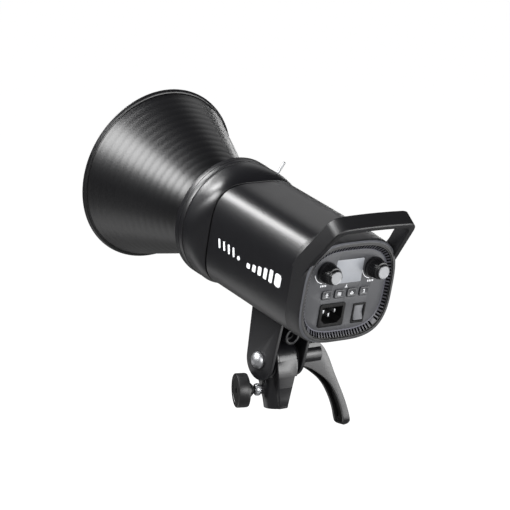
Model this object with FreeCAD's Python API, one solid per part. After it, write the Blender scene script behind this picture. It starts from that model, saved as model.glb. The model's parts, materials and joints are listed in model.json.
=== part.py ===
import FreeCAD, Part
import math
import os

# LED monolight on a tilting yoke with a stand adapter.
# World frame, millimetres: origin at the centre of the stand socket's mouth, +Z up,
# the lamp faces -Y, and the lock lever is on the -X side.
# Most of the head is drawn in the lamp frame: x across, y up from the lamp axis,
# z forward from the rear edge of the housing. to_world() puts it in place.

# ---- driving dimensions ---------------------------------------------------------
PIVOT_HEIGHT = 50.0        # tilt pivot above the socket's mouth
TILT_DEG = 15.0            # nose-up angle at rest
AXIS_ABOVE_PIVOT = 107.8   # lamp axis above the pivot
REAR_BEHIND_PIVOT = 88.5   # rear edge of the housing behind the pivot

BODY_HALF_W = 53.5         # rounded-square housing section
BODY_HALF_H = 53.7
BODY_POWER = 3.65          # squareness of the section, 2 is a circle
CAP_SECTIONS = [           # rear cap: distance forward, half width, half height, squareness
    (0.0, 54.6, 50.4, 3.15), (1.5, 55.6, 51.6, 3.30), (5.0, 55.8, 52.4, 3.45), (25.0, 53.5, 53.7, 3.65)]
WALL = 2.5                 # housing wall
CAP_END = CAP_SECTIONS[-1][0]   # seam between rear cap and main shell
SHELL_END = 157.4          # front end of the main shell
GROOVE_END = 160.0         # front end of the dark groove
COLLAR_END = 188.6         # seam between collar and front ring
MOUNT_FACE = 202.0         # front face of the accessory mount
COLLAR_R = 64.0
FRONT_RING_R = 64.6

PANEL_HALF_W = 47.2        # recessed control panel
PANEL_HALF_H = 41.3
PANEL_POWER = 3.2
PANEL_FACE = 5.0           # recess depth behind the rear edge
PANEL_THICK = 2.5
VENT_COUNT = 92            # cooling slots round the panel
VENT_WIDTH = 1.9

REFLECTOR_BASE = 204.4     # rear end of the bell
REFLECTOR_BASE_R = 43.4
REFLECTOR_RIM = 329.0
REFLECTOR_RIM_R = 92.2
BEAD_R = 2.0               # rolled rim
BELL_STEPS = 15            # spun ridges along the bell
BELL_WALL = 1.2
BELL_SWELL = 0.2           # height of each ridge

LUG_ANGLES = (90.0, 210.0, 330.0)
TWIST_DEG = 40.0           # reflector's turn from locked to free
RELEASE_DEG = 121.0        # release pin: 31 degrees from the top towards -X
RELEASE_PIN_S = 174.0
RELEASE_TRAVEL = 5.0
RELEASE_SLOT = 3.6         # width of the pin's slot in the collar
RELEASE_BOLT_R = 1.7
RELEASE_BOLT_REACH = 48.4  # bolt's distance from the lamp axis

YOKE_OUTER = 21.5          # outer faces of the yoke plates
YOKE_THICK = 4.0
YOKE_END_R = 20.5          # rounded lower end of the plates
SOCKET_R = 8.05            # bore for a 16 mm stand pin
SOCKET_DEPTH = 34.0
CLAMP_HEIGHT = 18.5        # clamp screw above the socket's mouth
CLAMP_TURN_DEG = -23.0     # clamp screw direction from +X
BOLT_R = 5.0               # pivot bolt
FIT = 0.05                 # radial running clearance
GAP = 0.3                  # clearance between separate moving pieces

KNOB_X, KNOB_Y = 29.0, 22.5
BUTTON_X, BUTTON_Y, BUTTON_PITCH = -23.1, -3.0, 15.4
BUTTON_W, BUTTON_H = 11.5, 8.5
INLET_X, INLET_Y = 12.8, -24.0
ROCKER_X, ROCKER_Y = -21.0, -25.6
FAN_S = 70.0               # rear face of the cooling fan
HEAT_SINK_S = 98.0         # rear ends of the heat sink's fins
LED_PLATE_S = 152.0        # front face of the heat sink's base


def V(x, y, z):
    return FreeCAD.Vector(x, y, z)


FORWARD = V(0, 0, 1)       # lamp axis in the lamp frame


# ---- shape helpers --------------------------------------------------------------
def to_world(shape):
    """Lamp frame to world: stand the axis along -Y, lift it, then tilt about the pivot."""
    placed = shape.copy()
    placed.rotate(V(0, 0, 0), V(1, 0, 0), 90)
    placed.translate(V(0, REAR_BEHIND_PIVOT, AXIS_ABOVE_PIVOT))
    return tilted(placed)


def tilted(shape):
    """Untilted pivot frame to world."""
    placed = shape.copy()
    placed.rotate(V(0, 0, 0), V(1, 0, 0), -TILT_DEG)
    placed.translate(V(0, 0, PIVOT_HEIGHT))
    return placed


def save(name, shape):
    if isinstance(shape, list):
        shape = Part.makeCompound(shape)
    if not shape.isValid() or shape.Volume <= 0:
        raise RuntimeError("bad solid: " + name)
    shape.exportStep("parts/" + name + ".step")
    reach = shape.BoundBox
    print("%-22s %3d solid(s) %10.1f mm3  x %.1f..%.1f y %.1f..%.1f z %.1f..%.1f" % (
        name, len(shape.Solids), shape.Volume, reach.XMin, reach.XMax,
        reach.YMin, reach.YMax, reach.ZMin, reach.ZMax))


def box(x0, x1, y0, y1, z0, z1):
    return Part.makeBox(x1 - x0, y1 - y0, z1 - z0, V(x0, y0, z0))


def centred_box(x, y, width, height, z0, z1):
    return box(x - width / 2, x + width / 2, y - height / 2, y + height / 2, z0, z1)


def rod(radius, start, end):
    return Part.makeCylinder(radius, (end - start).Length, start, end - start)


def tube(radius, bore, start, end):
    return rod(radius, start, end).cut(rod(bore, start, end))


def cone(r0, r1, start, end):
    return Part.makeCone(r0, r1, (end - start).Length, start, end - start)


def disc(x, y, radius, z0, z1):
    return rod(radius, V(x, y, z0), V(x, y, z1))


def rounded_box(x, y, width, height, corner, z0, z1):
    """Box with rounded corners seen along z."""
    solid = centred_box(x, y, width, height, z0, z1)
    upright = [e for e in solid.Edges if abs(e.tangentAt(e.FirstParameter).z) > 0.99]
    return solid.makeFillet(corner, upright)


def oval_points(half_w, half_h, power, z, count=48):
    points = []
    for i in range(count):
        a = 2 * math.pi * i / count
        spread = abs(math.cos(a) / half_w) ** power + abs(math.sin(a) / half_h) ** power
        reach = spread ** (-1 / power)
        points.append(V(reach * math.cos(a), reach * math.sin(a), z))
    return points


def oval(half_w, half_h, power, z):
    """Superellipse outline in the plane at z."""
    curve = Part.BSplineCurve()
    curve.interpolate(Points=oval_points(half_w, half_h, power, z), PeriodicFlag=True)
    return Part.Wire([curve.toShape()])


def loft(*sections):
    return Part.makeLoft([oval(*s) for s in sections], True, False)


def extruded(points, direction):
    """Solid from a closed outline of straight edges."""
    return Part.Face(Part.makePolygon(points + points[:1])).extrude(direction)


def body_section(z, inset=0.0):
    return (BODY_HALF_W - inset, BODY_HALF_H - inset, BODY_POWER, z)


def rear_section(z, inset=0.0):
    """Section of the rear cap between its listed sections."""
    for low, high in zip(CAP_SECTIONS, CAP_SECTIONS[1:]):
        if z <= high[0]:
            break
    t = (z - low[0]) / (high[0] - low[0])
    half_w, half_h, power = [a + (b - a) * t for a, b in zip(low[1:], high[1:])]
    return (half_w - inset, half_h - inset, power, z)


def cap_loft(inset):
    """Rear cap from edge to seam, straight between its sections."""
    outlines = [oval(*rear_section(row[0], inset)) for row in CAP_SECTIONS]
    return Part.makeLoft(outlines, True, True)


def collar_section(z, inset=0.0):
    """Section of the collar, blending from the rounded square to the round mount."""
    t = (z - GROOVE_END) / (COLLAR_END - GROOVE_END)
    t = 1 - (1 - t) ** 2.2
    mix = lambda a, b: a + (b - a) * t
    return (mix(BODY_HALF_W, COLLAR_R) - inset, mix(BODY_HALF_H, COLLAR_R) - inset,
            mix(BODY_POWER, 2.0), z)


# ---- housing --------------------------------------------------------------------
def rear_cap():
    """Rear moulding with the thin edge round the panel."""
    shell = cap_loft(0.0).cut(cap_loft(WALL))
    return shell.cut(Part.makeCompound(handle_screws()))


def vent_frame_outline(z):
    return (PANEL_HALF_W, PANEL_HALF_H, PANEL_POWER, z)


def vent_grille():
    """Sloping ring between the rear edge and the panel, cut by a ring of slots."""
    depth = PANEL_FACE + PANEL_THICK
    outlines = [oval(*rear_section(z, WALL + FIT)) for z in (0.8, 1.5, 5.0, depth)]
    ring = Part.makeLoft(outlines, True, True)
    funnel = loft(rear_section(0.0, WALL), vent_frame_outline(PANEL_FACE))
    well = loft(vent_frame_outline(PANEL_FACE), vent_frame_outline(depth + 1))
    ring = ring.cut(funnel).cut(well)
    return ring.cut(Part.makeCompound(vent_slots()))


def vent_slots():
    """Slots stand square to the ring and keep clear of two short blank corners."""
    inner = oval_points(PANEL_HALF_W + 1.0, PANEL_HALF_H + 1.0, PANEL_POWER, 0, 720)
    outer_w, outer_h, power, _ = rear_section(0.0, WALL + 1.0)
    outer = oval_points(outer_w, outer_h, power, 0, 720)
    lengths = [inner[i].distanceToPoint(inner[i - 1]) for i in range(720)]
    pitch = sum(lengths) / VENT_COUNT
    slots, walked = [], 0.0
    for i in range(720):
        walked += lengths[i]
        if walked < pitch:
            continue
        walked -= pitch
        along = inner[(i + 2) % 720] - inner[i - 2]
        outward = V(along.y, -along.x, 0).normalize()
        blank = abs(abs(math.degrees(outward.getAngle(V(0, -1, 0)))) - 40) < 6 and outward.y < 0
        if blank:
            continue
        reach = min(range(720), key=lambda k: abs((outer[k] - inner[i]).cross(outward).z)
                    + (1e6 if (outer[k] - inner[i]).dot(outward) < 0 else 0))
        length = (outer[reach] - inner[i]).dot(outward)
        slot = Part.makeBox(length, VENT_WIDTH, 12, V(0, -VENT_WIDTH / 2, -1))
        slot.Placement = FreeCAD.Placement(inner[i], FreeCAD.Rotation(V(1, 0, 0), outward))
        slots.append(slot)
    return slots


def main_shell():
    """Extruded housing with holes for the yoke's screws in its floor."""
    shell = loft(body_section(CAP_END), body_section(SHELL_END)).cut(
        loft(body_section(CAP_END, WALL), body_section(SHELL_END, WALL)))
    below, above = -BODY_HALF_H - 1, WALL + 1 - BODY_HALF_H
    holes = [rod(2.0, V(x, below, REAR_BEHIND_PIVOT - y), V(x, above, REAR_BEHIND_PIVOT - y))
             for x, y in yoke_screw_places()]
    return shell.cut(Part.makeCompound(holes))


def groove_band():
    return loft(body_section(SHELL_END, 1.3), body_section(GROOVE_END, 1.3)).cut(
        loft(body_section(SHELL_END, WALL + 1), body_section(GROOVE_END, WALL + 1)))


def front_collar():
    stations = [GROOVE_END + (COLLAR_END - GROOVE_END) * i / 4 for i in range(5)]
    shell = loft(*[collar_section(z) for z in stations]).cut(
        loft(*[collar_section(z, WALL) for z in stations]))
    return shell.cut(release_slot())


def front_ring():
    body = disc(0, 0, FRONT_RING_R, COLLAR_END, MOUNT_FACE)
    body = body.makeFillet(0.9, [e for e in body.Edges if e.Closed])
    return body.cut(disc(0, 0, 54.0, COLLAR_END - 1, MOUNT_FACE + 1))


def ring_sector(r_in, r_out, mid_deg, span_deg, z0, z1):
    ring = Part.makeCylinder(r_out, z1 - z0, V(0, 0, z0), FORWARD, span_deg)
    ring = ring.cut(Part.makeCylinder(r_in, z1 - z0, V(0, 0, z0), FORWARD, span_deg))
    ring.rotate(V(0, 0, 0), FORWARD, mid_deg - span_deg / 2)
    return ring


def bayonet_ring():
    """Steel ring with three inward tabs that hold an accessory's lugs."""
    ring = disc(0, 0, 54.0, 189.0, MOUNT_FACE - 0.3).cut(disc(0, 0, 50.5, 188.0, MOUNT_FACE))
    for angle in LUG_ANGLES:
        ring = ring.fuse(ring_sector(47.0, 50.6, angle, 40.0, 196.5, 200.0))
    return ring.removeSplitter()


def front_plate():
    """Inner plate that closes the collar round the lamp window."""
    plate = disc(0, 0, 55.5, 181.0, 183.0).cut(disc(0, 0, 30.2, 180.0, 184.0))
    return plate.cut(release_rod(RELEASE_BOLT_R + 0.6, 178.0, 186.0))


# ---- accessory release ----------------------------------------------------------
def release_direction():
    a = math.radians(RELEASE_DEG)
    return V(math.cos(a), math.sin(a), 0)


def release_slot():
    """Slot through the collar for the release pin and its travel."""
    out = release_direction()
    rear = RELEASE_PIN_S - RELEASE_TRAVEL - RELEASE_SLOT / 2
    slot = Part.makeBox(20, RELEASE_SLOT, RELEASE_SLOT + RELEASE_TRAVEL, V(0, -RELEASE_SLOT / 2, rear))
    slot.Placement = FreeCAD.Placement(out * 52, FreeCAD.Rotation(V(0, 0, 1), RELEASE_DEG))
    return slot


def release_rod(radius, z0, z1):
    """Rod parallel to the lamp axis on the line of the release bolt."""
    out = release_direction() * RELEASE_BOLT_REACH
    return rod(radius, out + V(0, 0, z0), out + V(0, 0, z1))


def release_pin():
    """Radial finger pin."""
    out, foot = release_direction(), RELEASE_BOLT_REACH + RELEASE_BOLT_R
    low, high = out * foot + V(0, 0, RELEASE_PIN_S), out * 76.2 + V(0, 0, RELEASE_PIN_S)
    pin = rod(1.4, low, high).fuse(Part.makeSphere(1.4, high))
    return pin.cut(release_rod(RELEASE_BOLT_R, 165.0, 185.0))


def release_bolt():
    """Sliding bolt that the finger pin draws back out of the accessory's notch."""
    return release_rod(RELEASE_BOLT_R, 168.0, 204.0)


# ---- reflector ------------------------------------------------------------------
def reflector_bell():
    """Spun bell with shallow ridges, rolled rim and a short neck."""
    first = REFLECTOR_BASE + 6.0
    slope = (REFLECTOR_RIM_R - 1.0 - REFLECTOR_BASE_R) / (REFLECTOR_RIM - first)
    pitch = (REFLECTOR_RIM - first) / BELL_STEPS
    outer, inner = [], []
    for i in range(BELL_STEPS):
        z0, z1 = first + pitch * i, first + pitch * (i + 1)
        r0, r1 = REFLECTOR_BASE_R + slope * (z0 - first), REFLECTOR_BASE_R + slope * (z1 - first)
        for rows, inset in ((outer, 0.0), (inner, BELL_WALL)):
            crest = V((r0 + r1) / 2 - inset + BELL_SWELL, 0, (z0 + z1) / 2)
            rows.append(Part.Arc(V(r0 - inset, 0, z0), crest, V(r1 - inset, 0, z1)).toShape())
    end_out, end_in = outer[-1].Vertexes[-1].Point, inner[-1].Vertexes[-1].Point
    neck_out = V(REFLECTOR_BASE_R, 0, REFLECTOR_BASE)
    neck_in = V(REFLECTOR_BASE_R - BELL_WALL, 0, REFLECTOR_BASE)
    edges = ([Part.makeLine(neck_in, neck_out), Part.makeLine(neck_out, outer[0].Vertexes[0].Point)]
             + outer + [Part.makeLine(end_out, end_in)] + inner[::-1]
             + [Part.makeLine(inner[0].Vertexes[0].Point, neck_in)])
    wall = Part.Face(Part.Wire(Part.sortEdges(edges)[0])).revolve(V(0, 0, 0), FORWARD, 360)
    bead = Part.makeTorus(REFLECTOR_RIM_R, BEAD_R, V(0, 0, REFLECTOR_RIM), FORWARD)
    return wall.fuse(bead).cut(Part.makeCompound(reflector_rivets()))


def reflector_flange():
    """Pressed mounting ring with a neck and three lugs behind the mount's tabs."""
    flange = disc(0, 0, 51.5, MOUNT_FACE + GAP, REFLECTOR_BASE)
    flange = flange.fuse(disc(0, 0, 46.4, 190.5, REFLECTOR_BASE))
    flange = flange.fuse(disc(0, 0, REFLECTOR_BASE_R + 3.2, REFLECTOR_BASE, REFLECTOR_BASE + 3.6).cut(
        disc(0, 0, REFLECTOR_BASE_R, REFLECTOR_BASE, REFLECTOR_BASE + 3.6)))
    flange = flange.cut(disc(0, 0, REFLECTOR_BASE_R - BELL_WALL, 190, REFLECTOR_BASE + 4))
    for angle in LUG_ANGLES:
        flange = flange.fuse(ring_sector(46.3, 49.9, angle, 34.0, 191.5, 196.0))
    # the bolt's notch is as long as the bell's turn, and its end is the stop
    notch = ring_sector(46.4, 51.6, RELEASE_DEG + TWIST_DEG / 2, TWIST_DEG + 6,
                        MOUNT_FACE - 1, REFLECTOR_BASE)
    return flange.cut(notch).removeSplitter().cut(Part.makeCompound(reflector_rivets()))


def reflector_rivets():
    rivets = []
    for angle in LUG_ANGLES:
        a = math.radians(angle + 60)
        out = V(math.cos(a), math.sin(a), 0)
        at = V(0, 0, REFLECTOR_BASE + 1.8)
        start, face = out * (REFLECTOR_BASE_R - BELL_WALL - 0.8) + at, out * (REFLECTOR_BASE_R + 3.2) + at
        rivets.append(rod(1.0, start, face).fuse(cone(1.9, 1.2, face, face + out * 0.8)))
    return rivets


# ---- rear panel -----------------------------------------------------------------
def control_panel():
    plate = loft(vent_frame_outline(PANEL_FACE), vent_frame_outline(PANEL_FACE + PANEL_THICK))
    z0, z1 = PANEL_FACE - 1, PANEL_FACE + PANEL_THICK + 1
    cuts = [rounded_box(0, 20, 33.6, 24.5, 1.2, z0, z1),
            centred_box(INLET_X, INLET_Y, 27.2, 20.2, z0, z1),
            centred_box(ROCKER_X, ROCKER_Y, 13.4, 18.4, z0, z1)]
    cuts += [disc(side * KNOB_X, KNOB_Y, 3.7, z0, z1) for side in (-1, 1)]
    cuts += [rounded_box(x, BUTTON_Y, BUTTON_W + 2 * GAP, BUTTON_H + 2 * GAP, 2.3, z0, z1)
             for x in button_places()]
    return plate.cut(Part.makeCompound(cuts))


def button_places():
    return [BUTTON_X + BUTTON_PITCH * i for i in range(4)]


def display_window():
    return rounded_box(0, 20, 33.4, 24.3, 1.1, PANEL_FACE - 0.3, PANEL_FACE + 1.5)


def display_module():
    return rounded_box(0, 20, 33.0, 24.0, 1.0, PANEL_FACE + 1.6, 12.0)


def encoder(side):
    x = side * KNOB_X
    body = centred_box(x, KNOB_Y, 12, 12, 8.0, 14.5).fuse(disc(x, KNOB_Y, 3.5, 3.8, 8.0))
    return body.cut(disc(x, KNOB_Y, 2.5 + FIT, 3.0, 13.5))


def encoder_shaft(side):
    x = side * KNOB_X
    return disc(x, KNOB_Y, 2.5, -9.0, 12.4)


def knob(side):
    """Ribbed skirt on the encoder shaft."""
    x = side * KNOB_X
    at = lambda z: V(x, KNOB_Y, z)
    body = cone(10.1, 8.6, at(3.0), at(-10.0))
    ribs = []
    for i in range(30):
        a = 2 * math.pi * i / 30
        out = V(math.cos(a), math.sin(a), 0)
        ribs.append(rod(0.45, at(3.2) + out * 10.3, at(-10.2) + out * 8.8))
    body = body.cut(Part.makeCompound(ribs))
    body = body.cut(disc(x, KNOB_Y, 4.2, 1.0, 3.5))
    return body.cut(disc(x, KNOB_Y, 2.5 + FIT, -9.2, 3.5))


def knob_cap(side):
    x = side * KNOB_X
    cap = disc(x, KNOB_Y, 7.0, -12.6, -10.0)
    return cap.makeFillet(0.6, [e for e in cap.Edges if e.Closed and e.CenterOfMass.z < -12])


def button(x):
    head = rounded_box(x, BUTTON_Y, BUTTON_W, BUTTON_H, 2.0, PANEL_FACE - 1.3, 8.2)
    head = head.makeFillet(0.5, [e for e in head.Edges if e.BoundBox.ZMax < PANEL_FACE - 1.2])
    return head.fuse(rounded_box(x, BUTTON_Y, BUTTON_W + 2, BUTTON_H + 2, 2.0, 8.0, 9.0))


def button_board():
    board = rounded_box(0, BUTTON_Y, 66, 13, 1.0, 11.2, 12.8)
    switches = [centred_box(x, BUTTON_Y, 6, 6, 10.4, 11.2) for x in button_places()]
    return board.fuse(Part.makeCompound(switches)).removeSplitter()


def chamfered_slot(x, y, width, height, cut, z0, z1):
    """Appliance-inlet outline: a rectangle with its two lower corners cut off."""
    w, h = width / 2, height / 2
    points = [V(x - w, y + h, z0), V(x + w, y + h, z0), V(x + w, y - h + cut, z0),
              V(x + w - cut, y - h, z0), V(x - w + cut, y - h, z0), V(x - w, y - h + cut, z0)]
    return extruded(points, V(0, 0, z1 - z0))


def inlet_housing():
    frame = rounded_box(INLET_X, INLET_Y, 30.7, 24.0, 2.2, PANEL_FACE - 1.2, PANEL_FACE)
    body = frame.fuse(centred_box(INLET_X, INLET_Y, 27.0, 20.0, PANEL_FACE - 0.1, 24.0))
    body = body.cut(chamfered_slot(INLET_X, INLET_Y, 24.5, 17.0, 4.6, 2.0, 20.5))
    return body.cut(Part.makeCompound(inlet_pins())).removeSplitter()


def inlet_pins():
    """Line and neutral above, earth below in the middle."""
    spots = [(-7.0, 2.0), (7.0, 2.0), (0.0, -2.0)]
    return [centred_box(INLET_X + dx, INLET_Y + dy, 2.0, 4.0, 8.5, 28.0) for dx, dy in spots]


def rocker_frame():
    frame = rounded_box(ROCKER_X, ROCKER_Y, 15.4, 20.6, 1.2, PANEL_FACE - 0.8, PANEL_FACE)
    frame = frame.fuse(centred_box(ROCKER_X, ROCKER_Y, 13.2, 18.2, PANEL_FACE - 0.1, 22.0))
    well = centred_box(ROCKER_X, ROCKER_Y, 11.8, 16.4, 3.0, 17.0)
    axle = rod(1.05, V(ROCKER_X - 6.3, ROCKER_Y, 8.5), V(ROCKER_X + 6.3, ROCKER_Y, 8.5))
    return frame.cut(well).cut(axle)


ROCKER_REST_DEG = 7.0


def rocker():
    """Two-faced paddle on a cross pin, resting with its upper half pressed in."""
    half, rise, foot = 7.4, 1.3, 4.6
    points = [V(0, -half, -4.3), V(0, 0, -4.3 + rise), V(0, half, -4.3), V(0, half - 1.2, 0.6),
              V(0, 2.2, foot), V(0, -2.2, foot), V(0, -half + 1.2, 0.6)]
    paddle = extruded([p + V(-5.5, 0, 0) for p in points], V(11.0, 0, 0))
    paddle = paddle.fuse(rod(1.0, V(-6.2, 0, 0), V(6.2, 0, 0)))
    paddle.rotate(V(0, 0, 0), V(1, 0, 0), ROCKER_REST_DEG)
    paddle.translate(V(ROCKER_X, ROCKER_Y, 8.5))
    return paddle.removeSplitter()


# ---- inside the housing ---------------------------------------------------------
def control_board():
    board = rounded_box(0, 16, 84, 50, 3.0, 17.5, 19.1)
    holes = [centred_box(side * KNOB_X, KNOB_Y, 5, 5, 16, 20) for side in (-1, 1)]
    return board.cut(Part.makeCompound(holes))


def power_board():
    """Supply board along the floor of the housing."""
    return box(-32, 32, -47.5, -45.9, 30, 145)


def power_parts():
    """Transformer and capacitors standing on the supply board."""
    transformer = rounded_box(-12, -31.5, 30, 28.8, 2.0, 34, 60)
    tall = [rod(8.5, V(16, -45.9, 40 + 19 * i), V(16, -18, 40 + 19 * i)) for i in range(2)]
    return [transformer] + tall


def fan_frame():
    frame = rounded_box(0, 4, 80, 80, 5.0, FAN_S, FAN_S + 25)
    frame = frame.cut(disc(0, 4, 37.8, FAN_S - 1, FAN_S + 26))
    hub = disc(0, 4, 17.0, FAN_S + 22.0, FAN_S + 25)
    spokes = []
    for i in range(4):
        spoke = box(14, 39, 2, 6, FAN_S + 22.5, FAN_S + 25)
        spoke.rotate(V(0, 4, 0), FORWARD, 45 + 90 * i)
        spokes.append(spoke)
    pin = disc(0, 4, 1.5, FAN_S + 6, FAN_S + 22.5)
    return frame.fuse([hub, pin] + spokes).removeSplitter()


def fan_rotor():
    rotor = disc(0, 4, 16.5, FAN_S + 1.0, FAN_S + 21.4)
    blades = []
    for i in range(7):
        blade = Part.makeBox(21, 1.6, 22, V(14.5, -0.8, -11))
        blade.rotate(V(0, 0, 0), V(1, 0, 0), 38)
        blade.rotate(V(0, 0, 0), FORWARD, 360.0 * i / 7)
        blade.translate(V(0, 4, FAN_S + 11.5))
        blades.append(blade)
    rotor = rotor.fuse(blades)
    rotor = rotor.common(disc(0, 4, 36.8, FAN_S + 1.0, FAN_S + 21.4))
    return rotor.cut(disc(0, 4, 1.5 + FIT, FAN_S + 5.5, FAN_S + 22))


def heat_sink():
    base = rounded_box(0, 4, 84, 84, 3.0, LED_PLATE_S - 6, LED_PLATE_S)
    fins = [box(-41 + 6.8 * i, -39.4 + 6.8 * i, -37, 45, HEAT_SINK_S, LED_PLATE_S - 5.9)
            for i in range(13)]
    sink = base.fuse(fins).removeSplitter()
    inside = WALL + 0.4
    return sink.common(loft(body_section(HEAT_SINK_S - 1, inside), body_section(LED_PLATE_S + 1, inside)))


def lamp_base():
    """Aluminium riser that brings the light source to the front plate."""
    return disc(0, 0, 26, LED_PLATE_S, 176.0)


def led_carrier():
    return rounded_box(0, 0, 28, 28, 1.5, 176.0, 178.0)


def led_emitter():
    return disc(0, 0, 9.5, 178.0, 178.9)


def led_clamp():
    ring = disc(0, 0, 25, 176.0, 180.2).cut(cone(12.0, 18.0, V(0, 0, 178.0), V(0, 0, 180.3)))
    return ring.cut(centred_box(0, 0, 28.2, 28.2, 175, 178.0))


def lamp_window():
    """Domed protective glass in front of the emitter."""
    dome = Part.makeSphere(38.0, V(0, 0, 159.5))
    shell = dome.cut(Part.makeSphere(35.5, V(0, 0, 159.5)))
    return shell.common(disc(0, 0, 30.0, 183.2, 200.0))


def window_ring():
    return disc(0, 0, 33.0, 183.0, 186.0).cut(disc(0, 0, 30.1, 182.0, 187.0))


# ---- handle ---------------------------------------------------------------------
HANDLE_LEAN_DEG = 31.0
HANDLE_WIDTH = 17.0
HANDLE_THICK = 6.5
HANDLE_CROWN = 2.0         # rise of the top's middle over its ends
HANDLE_SCREWS = [(31.0, 12.5), (31.0, 19.5)]


def handle_blank(inset, corner):
    """Solid inside an outline across the lamp: legs that lean in and a crowned top."""
    foot, top, height = 55.0 - inset, 47.8 - inset, 55.4 - inset
    corners = [V(-top, height, 0), V(-foot, 6, 0), V(-foot, -16, 0), V(foot, -16, 0), V(foot, 6, 0),
               V(top, height, 0)]
    sides = [Part.makeLine(a, b) for a, b in zip(corners, corners[1:])]
    crown = Part.Arc(corners[-1], V(0, height + HANDLE_CROWN, 0), corners[0]).toShape()
    blank = Part.Face(Part.Wire(sides + [crown])).extrude(V(0, 0, HANDLE_WIDTH))
    tops = [e for e in blank.Edges if e.BoundBox.YMin > 30 and abs(e.tangentAt(e.FirstParameter).z) > 0.99]
    return blank.makeFillet(corner, tops)


def carry_handle():
    """Flat bail that rises from the cap's sides and leans back over the panel."""
    bail = handle_blank(0.0, 13.0).cut(handle_blank(HANDLE_THICK, 7.5))
    long_edges = [e for e in bail.Edges if e.BoundBox.ZLength < 1e-6 and e.BoundBox.YMin > -15.9]
    bail = bail.makeChamfer(0.9, long_edges)
    bail.translate(V(0, 0, -HANDLE_WIDTH / 2))
    # local y climbs the lean, local z runs across the band towards the front
    lean = math.radians(HANDLE_LEAN_DEG)
    up, across = V(0, math.cos(lean), -math.sin(lean)), V(0, math.sin(lean), math.cos(lean))
    turn = FreeCAD.Matrix(1, 0, 0, 0, 0, up.y, across.y, 33.0, 0, up.z, across.z, 9.5, 0, 0, 0, 1)
    bail = bail.transformGeometry(turn)
    bail = bail.cut(cap_loft(0.0))
    bail = bail.common(box(-60, 60, 12, 100, -40, CAP_END - 0.2))
    bail = max(bail.Solids, key=lambda s: s.Volume)
    return bail.cut(Part.makeCompound(handle_screws()))


def handle_screws():
    """Screws from inside the cap up into the handle's legs."""
    return [rod(1.6, V(side * 44.0, y, s), V(side * 52.0, y, s)).fuse(
        rod(3.0, V(side * 42.6, y, s), V(side * 44.1, y, s)))
        for side in (-1, 1) for y, s in HANDLE_SCREWS]


# ---- yoke -----------------------------------------------------------------------
PLATE_TOP = 51.0
BASE_TOP = 55.0


def yoke_plate(side):
    """Side plate, round at the pivot and wider at the housing (untilted pivot frame)."""
    top_half = 24.6
    lean = math.atan2(top_half - YOKE_END_R, PLATE_TOP)
    touch = V(0, YOKE_END_R * math.cos(lean), YOKE_END_R * -math.sin(lean))
    right, left = V(0, touch.y, touch.z), V(0, -touch.y, touch.z)
    outline = Part.Wire([Part.Arc(left, V(0, 0, -YOKE_END_R), right).toShape(),
                         Part.makeLine(right, V(0, top_half, PLATE_TOP)),
                         Part.makeLine(V(0, top_half, PLATE_TOP), V(0, -top_half, PLATE_TOP)),
                         Part.makeLine(V(0, -top_half, PLATE_TOP), left)])
    plate = Part.Face(outline).extrude(V(YOKE_THICK, 0, 0))
    plate = plate.makeChamfer(0.5, [e for e in plate.Edges if abs(e.tangentAt(e.FirstParameter).x) < 0.5])
    plate.translate(V(YOKE_OUTER - YOKE_THICK if side > 0 else -YOKE_OUTER, 0, 0))
    return plate.cut(rod(BOLT_R, V(-30, 0, 0), V(30, 0, 0)))


def yoke_base():
    """Saddle between the plates and the housing's underside."""
    base = box(-YOKE_OUTER, YOKE_OUTER, -29.5, 24.6, PLATE_TOP, BASE_TOP)
    shell = loft(body_section(20), body_section(160))
    shell.rotate(V(0, 0, 0), V(1, 0, 0), 90)
    shell.translate(V(0, REAR_BEHIND_PIVOT, AXIS_ABOVE_PIVOT))
    base = base.cut(shell)
    return base.cut(Part.makeCompound([rod(2.0, V(x, y, 45), V(x, y, 60)) for x, y in yoke_screw_places()]))


def yoke_screw_places():
    return [(x, y) for x in (-11.0, 11.0) for y in (-17.0, 15.0)]


def yoke_screws():
    screws = []
    for x, y in yoke_screw_places():
        under, face = V(x, y, PLATE_TOP - 2.6), V(x, y, PLATE_TOP)
        screw = rod(2.0, face, V(x, y, 57.0)).fuse(rod(3.6, under, face))
        screws.append(screw.cut(rod(1.6, under, V(x, y, PLATE_TOP - 1.2))))
    return screws


UMBRELLA_X, UMBRELLA_Z = 3.0, 33.0


def umbrella_tube():
    """Holder for an umbrella shaft, hung under the saddle by a web."""
    start, end = V(UMBRELLA_X, -22, UMBRELLA_Z), V(UMBRELLA_X, 23, UMBRELLA_Z)
    mouth = V(UMBRELLA_X, 17, UMBRELLA_Z)
    web = box(UMBRELLA_X - 2.0, UMBRELLA_X + 2.0, -8, 8, UMBRELLA_Z, PLATE_TOP)
    holder = rod(8.6, start, end).fuse(web)
    holder = holder.cut(rod(4.15, start, end)).cut(rod(6.2, mouth, end))
    return holder.cut(rod(2.0 + FIT, above_holder(0), above_holder(12))).removeSplitter()


def above_holder(z):
    return V(UMBRELLA_X, 12, UMBRELLA_Z + z)


def umbrella_screw():
    """Small locking screw above the holder's rear end."""
    return rod(2.0, above_holder(4.4), above_holder(12.4))


def umbrella_knob():
    """Knurled head of the locking screw."""
    head = rod(3.9, above_holder(9.6), above_holder(13.2))
    head = head.makeChamfer(0.4, [e for e in head.Edges if e.Closed])
    return head.cut(rod(2.0 + FIT, above_holder(9.0), above_holder(12.5)))


# ---- pivot and stand adapter ----------------------------------------------------
BARREL_R = 20.0
BARREL_HALF = 14.0
LEDGE = 33.0               # underside of the barrel's block


def clamp_direction():
    a = math.radians(CLAMP_TURN_DEG)
    return V(math.cos(a), math.sin(a), 0)


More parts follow.
